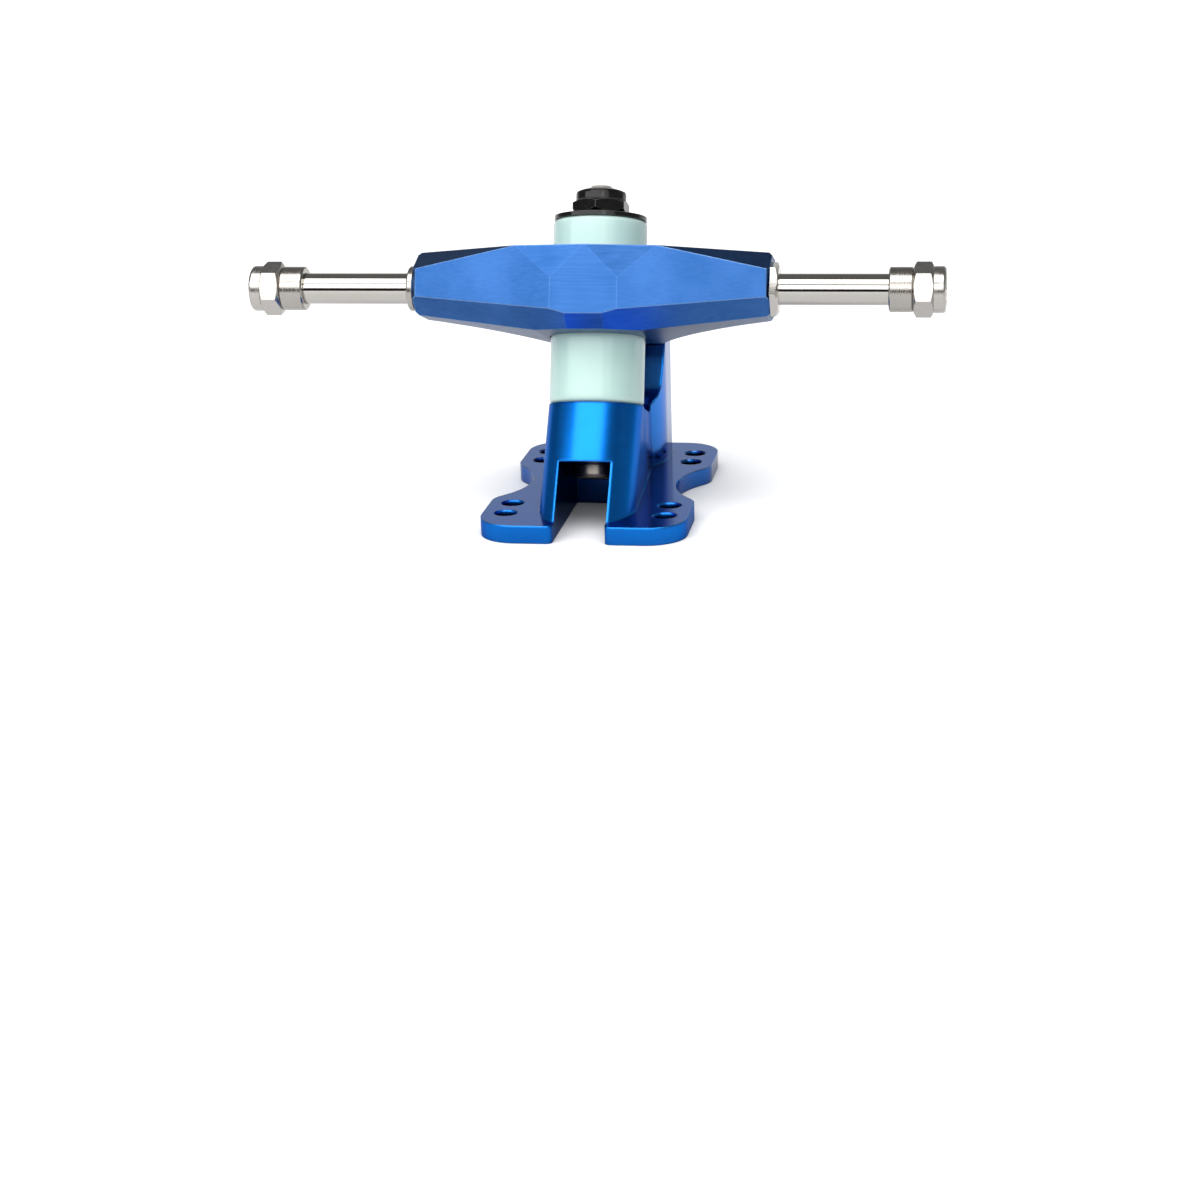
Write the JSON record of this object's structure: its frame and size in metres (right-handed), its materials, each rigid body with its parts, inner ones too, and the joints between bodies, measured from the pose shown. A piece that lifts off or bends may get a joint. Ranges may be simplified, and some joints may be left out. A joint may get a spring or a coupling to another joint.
{
  "type": "skate truck",
  "caption": "Reverse-kingpin skate truck: lobed baseplate, leaning kingpin with two soft bushings, gem-faceted hanger and a through axle with nuts.",
  "frame": {"origin": "centre of the deck bolt pattern, on the mounting face of the baseplate", "axes": "+X along the axle to the right as seen from the kingpin side, +Y from the kingpin to the pivot, +Z away from the deck"},
  "size_m": [0.1806, 0.0872, 0.0829],
  "materials": {
    "anodised_blue": "satin blue anodising over fine machining lines",
    "mint_urethane": "smooth, slightly translucent cast urethane",
    "amber_urethane": "smooth amber urethane",
    "bright_steel": "polished stainless steel",
    "satin_steel": "satin turned steel",
    "black_oxide": "glossy black oxide",
    "black_nylon": "black nylon",
    "pale_nylon": "pale nylon"
  },
  "bodies": {
    "base": {"baseplate": "anodised_blue", "pivot_cup": "amber_urethane", "kingpin": "bright_steel", "kingpin_nut": "black_oxide", "kingpin_nut_insert": "black_nylon", "cup_washer": "black_oxide", "boardside_bushing": "mint_urethane", "roadside_bushing": "mint_urethane"},
    "hanger_group": {"hanger": "anodised_blue", "pivot_pin": "bright_steel", "axle": "bright_steel", "axle_collar": "satin_steel"},
    "left_nut": {"left_axle_nut": "satin_steel", "left_nut_insert": "pale_nylon"},
    "right_nut": {"right_axle_nut": "satin_steel", "right_nut_insert": "pale_nylon"},
    "left_sleeve": {"left_spacer": "satin_steel"},
    "right_sleeve": {"right_spacer": "satin_steel"}
  },
  "joints": [
    {"name": "hanger_lean", "type": "hinge", "parent": "base", "child": "hanger_group", "pos_m": [0, -0.00081, 0.05196], "axis": [0, 0.9511, -0.309], "range_deg": [-18, 18], "stiffness_Nm_per_rad": 40, "deforming": ["boardside_bushing", "roadside_bushing"]},
    {"name": "left_nut_off", "type": "slide", "parent": "hanger_group", "child": "left_nut", "axis": [-1, 0, 0], "range_m": [0, 0.06]},
    {"name": "right_nut_off", "type": "slide", "parent": "hanger_group", "child": "right_nut", "axis": [1, 0, 0], "range_m": [0, 0.06]},
    {"name": "left_spacer_slide", "type": "slide", "parent": "left_nut", "child": "left_sleeve", "axis": [1, 0, 0], "range_m": [0, 0.0279]},
    {"name": "right_spacer_slide", "type": "slide", "parent": "right_nut", "child": "right_sleeve", "axis": [-1, 0, 0], "range_m": [0, 0.0276]}
  ]
}
